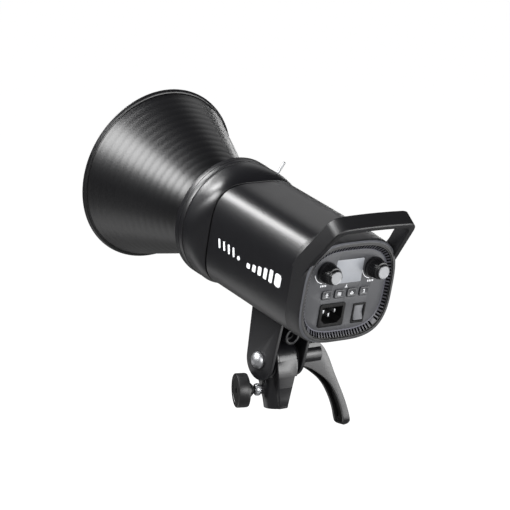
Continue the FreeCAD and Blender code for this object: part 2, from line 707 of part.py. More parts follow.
def stand_adapter():
    """Socket for the stand pin below, barrel for the tilt pivot above."""
    pivot = V(0, 0, PIVOT_HEIGHT)
    barrel = rod(BARREL_R, pivot - V(BARREL_HALF, 0, 0), pivot + V(BARREL_HALF, 0, 0))
    barrel = barrel.makeFillet(4.0, [e for e in barrel.Edges if e.Closed])
    column = cone(12.2, 13.9, V(0, 0, 0), V(0, 0, 12)).fuse(rod(13.9, V(0, 0, 12), V(0, 0, LEDGE + 2)))
    keel = Part.makeLoft([oblong(5.6, 12.7, 0.0), oblong(7.2, 14.6, 10.0), oblong(10.6, 18.2, LEDGE)],
                         True, True)
    block = Part.makeLoft([oblong(12.2, BARREL_R, LEDGE), oblong(13.7, BARREL_R, PIVOT_HEIGHT)], True, True)
    body = barrel.fuse([column, keel, block])
    body = body.fuse(cone(6.4, 4.6, clamp_axis(8.0), clamp_axis(15.3)))
    body = body.cut(rod(SOCKET_R, V(0, 0, -1), V(0, 0, SOCKET_DEPTH)))
    body = body.cut(rod(3.0 + FIT, clamp_axis(0.0), clamp_axis(30.0)))
    return body.cut(rod(BOLT_R + FIT, pivot - V(30, 0, 0), pivot + V(30, 0, 0)))


def oblong(half_x, half_y, z):
    """Rectangle with cut corners."""
    cut = 1.0
    points = []
    for sx, sy in ((1, 1), (-1, 1), (-1, -1), (1, -1)):
        pair = [V(sx * half_x, sy * (half_y - cut), z), V(sx * (half_x - cut), sy * half_y, z)]
        points += pair if sx * sy > 0 else pair[::-1]
    return Part.makePolygon(points + points[:1])


def clamp_axis(reach):
    return V(0, 0, CLAMP_HEIGHT) + clamp_direction() * reach


def clamp_screw():
    return rod(3.0, clamp_axis(SOCKET_R + 0.1), clamp_axis(38.0))


def clamp_knob():
    """Plastic hand wheel with a conical hub and a ribbed ferrule."""
    ferrule = rod(6.0, clamp_axis(15.9), clamp_axis(22.6))
    ferrule = ferrule.makeChamfer(1.4, [e for e in ferrule.Edges if e.Closed])
    across = V(0, 0, 1).cross(clamp_direction())
    for i in range(12):
        a = 2 * math.pi * i / 12
        off = (across * math.cos(a) + V(0, 0, 1) * math.sin(a)) * 5.7
        ferrule = ferrule.fuse(rod(0.9, clamp_axis(17.0) + off, clamp_axis(21.6) + off))
    hub = cone(3.4, 7.4, clamp_axis(22.5), clamp_axis(26.6))
    hub = hub.fuse(rod(7.4, clamp_axis(26.5), clamp_axis(29.6)))
    wheel = rod(17.3, clamp_axis(29.5), clamp_axis(41.8))
    wheel = wheel.makeChamfer(1.6, [e for e in wheel.Edges if e.Closed])
    dish = rod(13.0, clamp_axis(41.0), clamp_axis(43.0))
    body = wheel.fuse([hub, ferrule]).cut(dish)
    return body.cut(rod(3.0 + FIT, clamp_axis(15.0), clamp_axis(38.1)))


def friction_washers():
    pivot = V(0, 0, PIVOT_HEIGHT)
    return [tube(15.6, BOLT_R + 0.3, pivot + V(x, 0, 0), pivot + V(x + 3.2, 0, 0))
            for x in (BARREL_HALF, -BARREL_HALF - 3.2)]


def pivot_bolt():
    """Carriage bolt: domed head outside the +X plate, shank through to the lever."""
    head = Part.makeSphere(12.0, V(YOKE_OUTER + 3.6 - 12.0, 0, 0)).common(
        rod(8.75, V(YOKE_OUTER, 0, 0), V(YOKE_OUTER + 6, 0, 0)))
    head = head.common(box(YOKE_OUTER, YOKE_OUTER + 6, -9, 9, -9, 9))
    return head.fuse(rod(BOLT_R, V(-46.0, 0, 0), V(YOKE_OUTER + 0.1, 0, 0)))


LEVER_OUTER = [(-48.0, 11.6), (-55.3, 4.5), (-59.9, -3.2), (-67.2, -19.6), (-77.6, -41.6), (-84.6, -58.0),
               (-89.6, -75.0)]                 # across and up from the pivot
LEVER_INNER = [(-81.2, -74.5), (-79.3, -64.5), (-75.5, -53.5), (-70.0, -42.5), (-62.0, -31.5),
               (-52.0, -23.0), (-42.0, -16.4), (-25.0, -9.5)]
LEVER_HALF = 9.0           # half the arm's depth
LEVER_POCKET = 6.2         # half the pocket's depth


def smooth_edge(places):
    curve = Part.BSplineCurve()
    curve.interpolate([V(x, 0, z) for x, z in places])
    return curve.toShape()


def lock_lever():
    """Cast lever on the -X end of the bolt, hanging down and outwards, hollow on its inner side."""
    tip_low, tip_high = V(-81.2, 0, -74.5), V(-89.6, 0, -75.0)
    outline = [smooth_edge(LEVER_OUTER), Part.Arc(tip_high, V(-85.6, 0, -79.6), tip_low).toShape(),
               smooth_edge(LEVER_INNER), Part.makeLine(V(-25.0, 0, -9.5), V(-25.0, 0, 11.6)),
               Part.makeLine(V(-25.0, 0, 11.6), V(-48.0, 0, 11.6))]
    arm = Part.Face(Part.Wire(outline)).extrude(V(0, 2 * LEVER_HALF, 0))
    arm.translate(V(0, -LEVER_HALF, 0))
    lever = arm.fuse(rod(11.6, V(-YOKE_OUTER - GAP, 0, 0), V(-50.0, 0, 0)))
    floor = [(-56.0, -16.0), (-66.0, -26.0), (-74.6, -43.0), (-81.0, -58.0), (-84.8, -70.0)]
    mouth = [(-82.8, -76.0), (-78.0, -76.5), (-70.0, -60.0), (-58.0, -40.0), (-44.0, -26.0), (-36.0, -20.0),
             (-44.0, -14.0)]
    corners = [V(x, 0, z) for x, z in floor + mouth]
    pocket = extruded(corners, V(0, 2 * LEVER_POCKET, 0))
    pocket.translate(V(0, -LEVER_POCKET, 0))
    return lever.cut(pocket).cut(rod(BOLT_R + FIT, V(-20, 0, 0), V(-46.3, 0, 0)))


# ---- write every node -----------------------------------------------------------
def world_of(shape, place):
    """Place one solid or each solid of a group."""
    if isinstance(shape, list):
        return Part.makeCompound([place(s) for s in shape])
    return place(shape)


def main():
    os.makedirs("parts", exist_ok=True)
    lamp_nodes = {
        "rear_cap": rear_cap, "vent_grille": vent_grille, "main_shell": main_shell,
        "groove_band": groove_band, "front_collar": front_collar, "front_ring": front_ring,
        "bayonet_ring": bayonet_ring, "front_plate": front_plate, "release_pin": release_pin,
        "release_bolt": release_bolt, "reflector_bell": reflector_bell,
        "reflector_flange": reflector_flange, "reflector_rivets": reflector_rivets,
        "control_panel": control_panel, "handle_screws": handle_screws,
        "display_window": display_window, "display_module": display_module,
        "button_board": button_board, "inlet_housing": inlet_housing, "inlet_pins": inlet_pins,
        "rocker_frame": rocker_frame, "power_rocker": rocker, "control_board": control_board,
        "power_board": power_board, "power_parts": power_parts, "fan_frame": fan_frame,
        "fan_rotor": fan_rotor, "heat_sink": heat_sink, "lamp_base": lamp_base,
        "led_carrier": led_carrier, "led_emitter": led_emitter, "led_clamp": led_clamp,
        "lamp_window": lamp_window, "window_ring": window_ring, "carry_handle": carry_handle}
    for name, make in lamp_nodes.items():
        save(name, world_of(make(), to_world))
    for label, side in (("left", 1), ("right", -1)):
        save("encoder_body_" + label, to_world(encoder(side)))
        save("encoder_shaft_" + label, to_world(encoder_shaft(side)))
        save("knob_" + label, to_world(knob(side)))
        save("knob_cap_" + label, to_world(knob_cap(side)))
        save("yoke_plate_" + label, tilted(yoke_plate(side)))
    for i, x in enumerate(reversed(button_places())):
        save("button_%d" % (i + 1), to_world(button(x)))
    pivot_nodes = {
        "yoke_base": yoke_base, "yoke_screws": yoke_screws, "umbrella_tube": umbrella_tube,
        "umbrella_screw": umbrella_screw, "umbrella_knob": umbrella_knob, "pivot_bolt": pivot_bolt}
    for name, make in pivot_nodes.items():
        save(name, world_of(make(), tilted))
    lever = lock_lever()
    lever.translate(V(0, 0, PIVOT_HEIGHT))
    save("lock_lever", lever)
    save("stand_adapter", stand_adapter())
    save("clamp_screw", clamp_screw())
    save("clamp_knob", clamp_knob())
    save("friction_washers", friction_washers())


main()
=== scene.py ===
import json
import math

import bmesh
import bpy
from mathutils import Matrix, Vector


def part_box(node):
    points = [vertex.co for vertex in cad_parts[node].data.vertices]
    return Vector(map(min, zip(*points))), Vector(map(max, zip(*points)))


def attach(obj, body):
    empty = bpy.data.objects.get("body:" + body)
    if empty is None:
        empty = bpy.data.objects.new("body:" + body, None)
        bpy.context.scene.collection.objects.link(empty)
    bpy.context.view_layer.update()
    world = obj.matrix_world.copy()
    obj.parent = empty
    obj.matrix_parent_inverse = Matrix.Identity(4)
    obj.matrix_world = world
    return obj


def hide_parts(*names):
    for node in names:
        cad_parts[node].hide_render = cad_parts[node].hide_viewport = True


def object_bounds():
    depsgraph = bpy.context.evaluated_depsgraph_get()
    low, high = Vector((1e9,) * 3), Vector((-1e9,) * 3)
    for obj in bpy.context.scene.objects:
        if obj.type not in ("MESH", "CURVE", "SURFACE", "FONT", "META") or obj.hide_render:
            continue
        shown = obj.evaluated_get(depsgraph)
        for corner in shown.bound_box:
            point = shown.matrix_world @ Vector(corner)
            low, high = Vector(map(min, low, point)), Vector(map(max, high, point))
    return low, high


bl_info = {
    "name": "Studio Monolight",
    "version": (1, 0, 0),
    "blender": (4, 5, 0),
    "location": "3D View > Sidebar > Monolight",
    "description": "Finishes a studio lamp head around its packed frame",
    "category": "Add Mesh",
}

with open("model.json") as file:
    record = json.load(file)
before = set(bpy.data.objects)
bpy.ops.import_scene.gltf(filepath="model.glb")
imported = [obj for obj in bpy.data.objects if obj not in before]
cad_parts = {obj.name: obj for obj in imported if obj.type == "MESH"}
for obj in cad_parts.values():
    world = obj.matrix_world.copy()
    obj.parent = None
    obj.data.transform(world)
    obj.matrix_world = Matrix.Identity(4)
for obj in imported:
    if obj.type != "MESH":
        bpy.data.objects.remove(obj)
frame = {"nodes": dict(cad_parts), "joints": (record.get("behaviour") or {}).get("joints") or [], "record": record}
CAD_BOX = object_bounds()
MM = 0.001
FLOOR_RADIUS = 30.0
LENS, SENSOR = 156.0, 36.0
AIM = Vector((0.0074, -0.0248, 0.1013))    # middle of the picture from the tilt pivot
AMBIENT = 0.012            # light from the surroundings beside the soft boxes
FLOOR_GLOW = 1.0           # floor as the camera sees it
FLOOR_BOUNCE = 0.015       # floor as a light

# ---- places taken from the frame --------------------------------------------------
JOINTS = {joint["name"]: joint for joint in frame["joints"]}
MOUNTS = {mount["name"]: mount for mount in frame["record"]["mounts"]}
PIVOT = Vector(JOINTS["head_tilt"]["pos_m"])
FORWARD = Vector(MOUNTS["accessory_mount"]["axis"]).normalized()
MOUNT_CENTRE = Vector(MOUNTS["accessory_mount"]["pos_m"])
MOUNT_S = 202.0            # mount face ahead of the housing's rear edge, in mm
LAMP_UP = Vector((1, 0, 0)).cross(-FORWARD).normalized()
REAR_CENTRE = MOUNT_CENTRE - FORWARD * MOUNT_S * MM

# Lamp frame, in mm: x across, y up from the lamp axis, z forward from the rear edge.
LAMP = Matrix.Translation(REAR_CENTRE) @ Matrix((
    (1, LAMP_UP.x, FORWARD.x, 0), (0, LAMP_UP.y, FORWARD.y, 0), (0, LAMP_UP.z, FORWARD.z, 0), (0, 0, 0, 1)))

# Dimensions of the frame's parts that pieces here follow, in mm.
PANEL_FACE = 5.0           # panel's face behind the rear edge
SHELL_SIDE, MARK_START = 53.5, 144.0    # housing's side face, and the front end of its mark
KEY_FACE = 3.7             # keys' faces behind the rear edge
BELL_BACK = 204.4
BELL_FIRST, BELL_LAST = 210.4, 329.0    # ridged length
BELL_NECK_R, BELL_LIP_R = 43.4, 91.2
BELL_RIDGES = 15
BELL_WALL = 1.2
BELL_SWELL = 0.2
CLAMP_HEIGHT = 18.5        # clamp screw above the socket's mouth
KEEL_FOOT, KEEL_TOP = (5.6, 12.8), (10.7, 18.3)    # half width and half depth of the adapter's keel
KEEL_RISE = 33.0
LEVER_TIP, LEVER_END_R = -29.6, 8.5     # height of the lever's end and its rounding
RIB_PITCH, RIB_GAP = 5, 2  # faces from one rib of a dial to the next, and pressed-in faces between
FLUTE_PITCH, FLUTE_GAP = 6, 3
KEY_SIZE, KEY_FOOT_SIZE, KEY_FOOT = (11.5, 8.5), (13.5, 10.5), 8.2
# Turned shapes as rows of (radius, height).
RING_ROWS = [
    (54.0, 189.0), (63.0, 188.7), (64.2, 189.3), (64.6, 190.2), (64.6, 194.4), (64.1, 194.7), (64.1, 195.3),
    (64.6, 195.6), (64.6, 200.4), (64.2, 201.4), (63.2, 202.0), (54.0, 202.0), (54.0, 189.0)]
DIAL_ROWS = [
    (2.6, 1.0), (4.2, 1.0), (4.2, 3.2), (10.0, 3.2), (10.4, 2.6), (10.3, 0.6), (10.0, 0.2), (8.9, -8.0),
    (8.5, -9.0), (7.4, -9.4), (7.1, -10.0), (7.0, -11.6), (6.6, -12.0), (2.6, -12.0), (2.6, 1.0)]
DIAL_FACE_ROWS = [
    (0.01, -12.25), (5.9, -12.3), (6.2, -12.55), (6.45, -12.6), (6.65, -12.4), (6.7, -11.9), (0.01, -11.9)]
BOLT_ROWS = [
    (0.01, 28.7), (2.6, 28.4), (5.0, 27.5), (7.0, 26.0), (8.3, 24.3), (8.7, 23.2), (8.75, 22.4), (8.5, 21.6),
    (5.0, 21.6), (5.0, -45.6), (4.6, -46.0), (0.01, -46.0)]
WHEEL_ROWS = [
    (3.1, 22.6), (3.6, 22.6), (4.4, 23.8), (7.2, 26.4), (7.6, 27.4), (7.8, 29.2), (8.6, 29.5), (15.4, 29.5),
    (16.6, 30.0), (17.2, 31.2), (17.3, 33.0), (17.3, 40.6), (17.0, 41.4), (16.4, 41.8), (13.8, 41.8),
    (13.3, 41.6), (13.0, 41.0), (12.4, 40.9), (3.1, 40.9), (3.1, 22.6)]
FERRULE_ROWS = [
    (3.1, 15.9), (4.6, 15.9), (5.8, 16.8), (6.4, 18.4), (6.4, 20.4), (5.8, 21.8), (4.4, 22.6), (3.1, 22.6),
    (3.1, 15.9)]
RIM_ROWS = [
    (90.6, 326.0), (90.9, 326.6), (92.0, 326.8), (92.9, 327.3), (93.2, 327.9), (92.9, 328.4), (93.4, 328.8),
    (93.9, 329.2), (94.0, 329.8), (93.6, 330.4), (92.7, 330.7), (91.6, 330.7), (90.8, 330.2), (90.2, 329.4),
    (89.6, 328.2)]
# Generic marks of the keys: bars as (across, up, width, height, turn in degrees).
KEY_MARKS = {
    1: [(0, 0, 3.6, 0.6, 0), (0, 1.5, 2.4, 0.6, 0), (0, -1.5, 2.4, 0.6, 0)],
    2: [(-1.5, 0, 0.7, 3.4, 0), (0, 0, 0.7, 3.4, 0), (1.5, 0, 0.7, 3.4, 0)],
    3: [(-0.9, 0, 0.7, 3.0, 35), (0.9, 0, 0.7, 3.0, -35), (0, -1.5, 3.2, 0.6, 0)],
    4: [(0, 0, 0.7, 3.8, 0), (0.6, 1.0, 0.6, 2.2, 50), (0.6, -1.0, 0.6, 2.2, -50)]}
FINISHES = {}


# ---- what a user may change -------------------------------------------------------
class MonolightColours(bpy.types.PropertyGroup):
    paint: bpy.props.FloatVectorProperty(
        name="Paint", description="Satin paint on the housing and reflector", subtype="COLOR",
        default=(0.0050, 0.0050, 0.0060))
    plastic: bpy.props.FloatVectorProperty(
        name="Plastic", description="Rear cap, grille and handle", subtype="COLOR",
        default=(0.0042, 0.0042, 0.0050))
    panel: bpy.props.FloatVectorProperty(
        name="Panel", description="Control panel and keys", subtype="COLOR", default=(0.036, 0.037, 0.041))
    display: bpy.props.FloatVectorProperty(
        name="Display", description="Switched-off display", subtype="COLOR", default=(0.24, 0.25, 0.27))
    print: bpy.props.FloatVectorProperty(
        name="Print", description="Marks printed on panel and keys", subtype="COLOR",
        default=(0.72, 0.73, 0.75))
    metal: bpy.props.FloatVectorProperty(
        name="Metal", description="Bright plated metal", subtype="COLOR", default=(0.70, 0.71, 0.73))
    floor: bpy.props.FloatVectorProperty(
        name="Floor", description="Studio floor", subtype="COLOR", default=(0.16, 0.16, 0.16))


class MonolightSizes(bpy.types.PropertyGroup):
    floor_drop: bpy.props.FloatProperty(
        name="Floor drop", description="Floor below the stand socket", default=0.30, unit="LENGTH")
    camera_distance: bpy.props.FloatProperty(
        name="Camera distance", description="From the tilt pivot to the camera", default=2.208, unit="LENGTH")
    camera_azimuth: bpy.props.FloatProperty(
        name="Camera azimuth", description="Turn of the camera round the stand", subtype="ANGLE",
        default=math.radians(142.87))
    camera_elevation: bpy.props.FloatProperty(
        name="Camera elevation", description="Rise of the camera above level", subtype="ANGLE",
        default=math.radians(8.51))


# ---- shader building --------------------------------------------------------------
class Socket:
    """A shader value that can be used in sums, each of which adds its Math node."""

    def __init__(self, tree, link):
        self.tree = tree
        self.link = link

    def math(self, operation, first, second=None):
        node = self.tree.nodes.new("ShaderNodeMath")
        node.operation = operation
        for slot, value in zip(node.inputs, (first, second)):
            if isinstance(value, Socket):
                self.tree.links.new(value.link, slot)
            elif value is not None:
                slot.default_value = value
        return Socket(self.tree, node.outputs[0])

    def __add__(self, other):
        return self.math("ADD", self, other)

    def __radd__(self, other):
        return self.math("ADD", other, self)

    def __sub__(self, other):
        return self.math("SUBTRACT", self, other)

    def __rsub__(self, other):
        return self.math("SUBTRACT", other, self)

    def __mul__(self, other):
        return self.math("MULTIPLY", self, other)

    def __rmul__(self, other):
        return self.math("MULTIPLY", other, self)

    def __truediv__(self, other):
        return self.math("DIVIDE", self, other)

    def over(self, other):
        return self.math("GREATER_THAN", self, other)


class Finish:
    """A material with a Principled shader and one way to add every other node."""

    def __init__(self, name, **constants):
        self.material = bpy.data.materials.new(name)
        self.material.use_nodes = True
        self.tree = self.material.node_tree
        self.shader = self.tree.nodes["Principled BSDF"]
        self.set(**constants)

    def set(self, **values):
        """Sets or links the shader's sockets, named with underscores for spaces."""
        for name, value in values.items():
            self.feed(self.shader.inputs[name.replace("_", " ")], value)

    def feed(self, slot, value):
        if isinstance(value, Socket):
            self.tree.links.new(value.link, slot)
        elif slot.type == "RGBA" and len(value) == 3:
            slot.default_value = (*value, 1.0)
        else:
            slot.default_value = value

    def node(self, kind, settings=None, output=0, **inputs):
        """Adds a node, applies its settings first, then its inputs, and gives one output."""
        node = self.tree.nodes.new(kind)
        for name, value in (settings or {}).items():
            if name == "stops":
                self.ramp(node.color_ramp, value)
            else:
                setattr(node, name, value)
        for name, value in inputs.items():
            self.feed(node.inputs[name.replace("_", " ")], value)
        return Socket(self.tree, node.outputs[output])

    def ramp(self, ramp, stops):
        while len(ramp.elements) < len(stops):
            ramp.elements.new(1.0)
        for element, (place, value) in zip(ramp.elements, stops):
            element.position = place
            element.color = (value, value, value, 1.0)

    def place(self):
        return self.node("ShaderNodeTexCoord", output=3)

    def depth(self):
        """Distance forward of the housing's rear edge, in mm."""
        across = self.node("ShaderNodeSeparateXYZ", output=1, Vector=self.place())
        above = self.node("ShaderNodeSeparateXYZ", output=2, Vector=self.place())
        return (across * FORWARD.y + above * FORWARD.z - REAR_CENTRE.dot(FORWARD)) / MM

    def noise(self, size, detail=3.0, rough=0.55):
        """Noise from 0 to 1 whose cells are about size metres across."""
        return self.node(
            "ShaderNodeTexNoise", Vector=self.place(), Scale=1.0 / size, Detail=detail, Roughness=rough)

    def blend(self, factor, dark, light):
        """Mixes two colours by a value."""
        node = self.tree.nodes.new("ShaderNodeMix")
        node.data_type = "RGBA"
        self.feed(node.inputs["Factor"], factor)
        for slot, value in zip([s for s in node.inputs if s.type == "RGBA"], (dark, light)):
            self.feed(slot, value)
        return Socket(self.tree, next(s for s in node.outputs if s.type == "RGBA"))

    def bump(self, height, depth, strength=1.0):
        """Turns a 0 to 1 height into a normal, depth in metres."""
        normal = self.node("ShaderNodeBump", Height=height, Distance=depth, Strength=strength)
        self.set(Normal=normal)


def tint(colour, factor):
    return tuple(min(1.0, c * factor) for c in colour)


def grained(name, colour, roughness, grain, depth, **constants):
    """Painted or moulded surface: fine grain, slow drift in gloss, a trace of dust."""
    finish = Finish(name, **constants)
    fine = finish.noise(grain, detail=2.0)
    slow = finish.noise(0.035, detail=3.0)
    dust = finish.noise(0.006, detail=4.0, rough=0.7)
    finish.set(
        Base_Color=finish.blend(slow * 0.6 + dust * 0.4, tint(colour, 0.82), tint(colour, 1.25)),
        Roughness=roughness - 0.04 + slow * 0.05 + fine * 0.03)
    finish.bump(fine, depth)
    return finish.material


def grille_plastic(name, colour):
    """Dark outer frame, grey fins, and painted highlight: a pale band next to the panel where its lip catches the
    light.
    """
    finish = Finish(name)
    fine, slow, depth = finish.noise(0.0008, detail=2.0), finish.noise(0.02), finish.depth()
    fins = finish.blend(slow, tint(colour, 6.0), tint(colour, 9.0))
    framed = finish.blend(depth.over(1.4), tint(colour, 0.3), fins)
    finish.set(
        # painted highlight: faces deeper than 4.4 mm get a much paler copy of the plastic
        Base_Color=finish.blend(depth.over(4.4), framed, tint(colour, 20.0)), Roughness=0.40 + fine * 0.06)
    finish.bump(fine, 0.00002)
    return finish.material


def plain_metal(name, colour, roughness, brushed=0.0006):
    """Metal with faint fine scratches and a slow change in gloss."""
    finish = Finish(name, Metallic=1.0)
    streak = finish.noise(brushed, detail=3.0)
    slow = finish.noise(0.012, detail=2.0)
    finish.set(
        Base_Color=finish.blend(slow, tint(colour, 0.88), tint(colour, 1.06)),
        Roughness=roughness + streak * 0.05 + slow * 0.05)
    finish.bump(streak, 0.0000008)
    return finish.material


# ---- the studio -------------------------------------------------------------------
def deselect():
    for item in bpy.context.selected_objects:
        item.select_set(False)


def settings():
    return bpy.context.scene.monolight_sizes, bpy.context.scene.monolight_colours


# Soft boxes: name, direction from the lamp, distance, width and height in metres, power in watts.
SOFT_BOXES = (
    ("key_softbox", (0.30, -0.50, 0.81), 1.3, 0.34, 0.60, 18.0),
    ("left_softbox", (0.76, -0.10, 0.62), 1.4, 0.70, 0.74, 34.0),
    ("rear_softbox", (-0.56, 0.80, -0.20), 1.9, 1.2, 1.4, 46.0),
    ("back_softbox", (0.20, 0.97, 0.12), 1.9, 0.8, 0.8, 30.0),
    ("right_softbox", (-0.66, -0.46, 0.58), 1.4, 0.6, 0.6, 0.9),
    ("rear_low_softbox", (-0.60, 0.70, -0.40), 0.62, 0.5, 0.25, 1.0),
    ("side_strip", (-0.80, -0.56, 0.20), 1.4, 0.2, 0.2, 0.8),
    ("low_strip", (0.37, -0.56, -0.74), 0.38, 0.22, 0.4, 0.24),
)


def panel_light(name, direction, distance, width, height, power):
    """A soft box that faces the lamp's middle from a direction."""
    middle = (Vector(CAD_BOX[0]) + Vector(CAD_BOX[1])) / 2
    towards = Vector(direction).normalized()
    deselect()
    bpy.ops.object.light_add(type="AREA", location=middle + towards * distance)
    lamp = bpy.context.object
    lamp.name = name
    lamp.rotation_mode = "QUATERNION"
    lamp.rotation_quaternion = towards.to_track_quat("Z", "Y")
    lamp.data.shape = "RECTANGLE"
    lamp.data.size, lamp.data.size_y = width, height
    lamp.data.energy = power


class MONOLIGHT_OT_stage(bpy.types.Operator):
    """Floor, soft light and the camera"""
    bl_idname = "monolight.stage"
    bl_label = "Studio"

    def execute(self, context):
        sizes, colours = settings()
        self.floor(sizes, colours)
        self.lights(context)
        self.camera(context, sizes)
        return {"FINISHED"}

    def floor(self, sizes, colours):
        deselect()
        bpy.ops.mesh.primitive_circle_add(
            vertices=96, radius=FLOOR_RADIUS, fill_type="NGON", location=(0, 0, -sizes.floor_drop))
        floor = bpy.context.object
        floor.name = "studio_floor"
        pale = Finish("pale_floor", Roughness=0.9, Specular_IOR_Level=0.1)
        pale.set(Base_Color=tuple(colours.floor), Emission_Color=(1.0, 1.0, 1.0),
                 Emission_Strength=self.seen(pale.tree, FLOOR_GLOW, FLOOR_BOUNCE))
        floor.data.materials.append(pale.material)

    def lights(self, context):
        for light in SOFT_BOXES:
            panel_light(*light)
        world = bpy.data.worlds.new("studio_white")
        context.scene.world = world
        world.use_nodes = True
        self.backdrop(world.node_tree)
        context.scene.view_settings.view_transform = "Standard"

    def backdrop(self, tree):
        """White where it is seen directly, dim as a light, so that the soft boxes shape the lamp."""
        dim = self.seen(tree, 1.0, AMBIENT)
        background = tree.nodes["Background"]
        background.inputs["Color"].default_value = (1.0, 1.0, 1.0, 1.0)
        tree.links.new(dim.link, background.inputs["Strength"])

    def seen(self, tree, bright, dim):
        """One value where the camera looks straight at it and another as a light."""
        direct = Socket(tree, tree.nodes.new("ShaderNodeLightPath").outputs["Is Camera Ray"])
        return direct * (bright - dim) + dim

    def camera(self, context, sizes):
        azimuth, elevation = sizes.camera_azimuth, sizes.camera_elevation
        back = Vector((math.sin(azimuth) * math.cos(elevation), -math.cos(azimuth) * math.cos(elevation),
                       math.sin(elevation)))
        bpy.ops.object.camera_add()
        camera = bpy.context.object
        camera.name = "studio_camera"
        camera.location = PIVOT + AIM + back * sizes.camera_distance
        camera.rotation_mode = "QUATERNION"
        camera.rotation_quaternion = (-back).to_track_quat("-Z", "Y")
        camera.data.lens, camera.data.sensor_width = LENS, SENSOR
        camera.data.clip_start, camera.data.clip_end = 0.05, 100.0
        context.scene.camera = camera


# ---- finishes of the frame's own parts --------------------------------------------
def finishes():
    """Every finish by name, made once."""
    _, colours = settings()
    metal = tuple(colours.metal)
    return {
        "paint": grained("satin_paint", colours.paint, 0.34, 0.0007, 0.000012),
        "plastic": grained("cap_plastic", colours.plastic, 0.46, 0.0009, 0.00003),
        "panel": grained("panel_film", colours.panel, 0.55, 0.0006, 0.00001),
        "display": grained("display_film", colours.display, 0.30, 0.0006, 0.000002),
        # deep black for dark parts, and also painted shade on the walls of recesses and on the clamp wheel's face
        "black": grained(
            "deep_black_and_painted_shade", (0.0015, 0.0015, 0.0017), 0.6, 0.0008, 0.00002, Specular_IOR_Level=0.2),
        "bell": grained("bell_paint", tint(colours.paint, 0.6), 0.36, 0.0011, 0.000008),
        "mirror": plain_metal("bell_silver", tint(metal, 0.95), 0.22),
        "texture": grained("textured_paint", tint(colours.paint, 1.1), 0.42, 0.0006, 0.00003),
        "cast": grained("cast_paint", tint(colours.paint, 0.9), 0.30, 0.0014, 0.00002),
        "fins": grille_plastic("fin_plastic", tint(colours.plastic, 1.5)),
        "knob": grained("knob_plastic", (0.0070, 0.0070, 0.0078), 0.36, 0.0006, 0.000012),
        "key": grained("key_plastic", tint(colours.panel, 0.8), 0.42, 0.0006, 0.00001),
        # painted highlight: a paler copy of the panel plastic for edges that catch the light
        "painted_lip_highlight": grained("painted_lip_highlight_plastic", tint(colours.panel, 2.2), 0.36, 0.0006, 0.00001),
        "rocker": grained("rocker_plastic", tint(colours.panel, 1.8), 0.34, 0.0006, 0.00001),
        "print": grained("printed_marks", colours.print, 0.5, 0.0004, 0.000002),
        "nickel": plain_metal("nickel", tint(metal, 0.6), 0.34),
        "rubber": grained("hard_rubber", (0.0040, 0.0040, 0.0045), 0.42, 0.0008, 0.00003),
        "bright": plain_metal("bright_plating", tint(metal, 0.62), 0.40),
        "steel": plain_metal("plain_steel", tint(metal, 0.72), 0.32),
        "silver": plain_metal("turned_silver", tint(metal, 0.36), 0.42),
        "board": grained("circuit_board", (0.010, 0.060, 0.030), 0.35, 0.0015, 0.00001),
        "glass": grained(
            "frosted_glass", (0.82, 0.85, 0.87), 0.16, 0.0015, 0.000004, Transmission_Weight=0.9),
        "phosphor": grained("phosphor", (0.80, 0.60, 0.08), 0.5, 0.0008, 0.00001),
    }


CAD_FINISH = {
    "paint": ["main_shell", "front_collar", "front_ring", "front_plate", "reflector_bell", "reflector_flange",
              "yoke_plate_left", "yoke_plate_right", "yoke_base", "umbrella_tube", "stand_adapter",
              "lock_lever"],
    "plastic": ["rear_cap", "vent_grille", "carry_handle", "fan_frame", "fan_rotor", "led_clamp"],
    "panel": ["control_panel", "power_rocker", "button_1", "button_2", "button_3", "button_4"],
    "display": ["display_window"],
    "black": ["groove_band", "inlet_housing", "rocker_frame", "friction_washers", "power_parts"],
    "rubber": ["clamp_knob", "knob_left", "knob_right"],
    "bright": ["inlet_pins", "pivot_bolt", "clamp_screw", "reflector_rivets"],
    "steel": ["bayonet_ring", "release_bolt", "handle_screws", "window_ring", "yoke_screws", "umbrella_screw",
              "umbrella_knob", "encoder_body_left", "encoder_body_right", "encoder_shaft_left",
              "encoder_shaft_right", "heat_sink", "lamp_base", "led_carrier"],
    "silver": ["release_pin", "knob_cap_left", "knob_cap_right"],
    "board": ["display_module", "button_board", "control_board", "power_board"],
    "glass": ["lamp_window"],
    "phosphor": ["led_emitter"],
}


class MONOLIGHT_OT_cad_finish(bpy.types.Operator):
    """Give each of the frame's own parts its finish"""
    bl_idname = "monolight.cad_finish"
    bl_label = "Finish frame parts"

    def execute(self, context):
        for finish, nodes in CAD_FINISH.items():
            for node in nodes:
                for slot in frame["nodes"][node].material_slots:
                    slot.material = FINISHES[finish]
        return {"FINISHED"}


# ---- modelling ---------------------------------------------------------------------
BODY = {node: body for body, nodes in frame["record"]["behaviour"]["bodies"].items() for node in nodes}


def activate(piece):
    deselect()
    piece.select_set(True)
    bpy.context.view_layer.objects.active = piece


def edit(piece):
    activate(piece)
    bpy.ops.object.mode_set(mode="EDIT")


def modify(piece, kind, **values):
    """Adds a modifier and applies it."""
    activate(piece)
    modifier = piece.modifiers.new(kind, kind)
    for name, value in values.items():
        setattr(modifier, name, value)
    bpy.ops.object.modifier_apply(modifier=modifier.name)


def pick(kind, test):
    """Selects faces or edges of the piece being edited by their middle and direction, in mm."""
    bpy.ops.mesh.select_mode(type=kind)
    bpy.ops.mesh.select_all(action="DESELECT")
    mesh = bpy.context.edit_object.data
    shape = bmesh.from_edit_mesh(mesh)
    for item in shape.faces if kind == "FACE" else shape.edges:
        if kind == "FACE":
            middle, way = item.calc_center_median(), item.normal
        else:
            first, last = (vertex.co for vertex in item.verts)
            middle, way = (first + last) / 2, (last - first).normalized()
        if test(middle / MM, way):
            item.select_set(True)
    bmesh.update_edit_mesh(mesh)


def angle_of(middle):
    """Angle of a place round local Z, in degrees."""
    return math.degrees(math.atan2(middle.y, middle.x))


def segment(middle, count):
    """Number of the segment that a face of a turned piece is in."""
    return round(angle_of(middle) * count / 360 - 0.5)


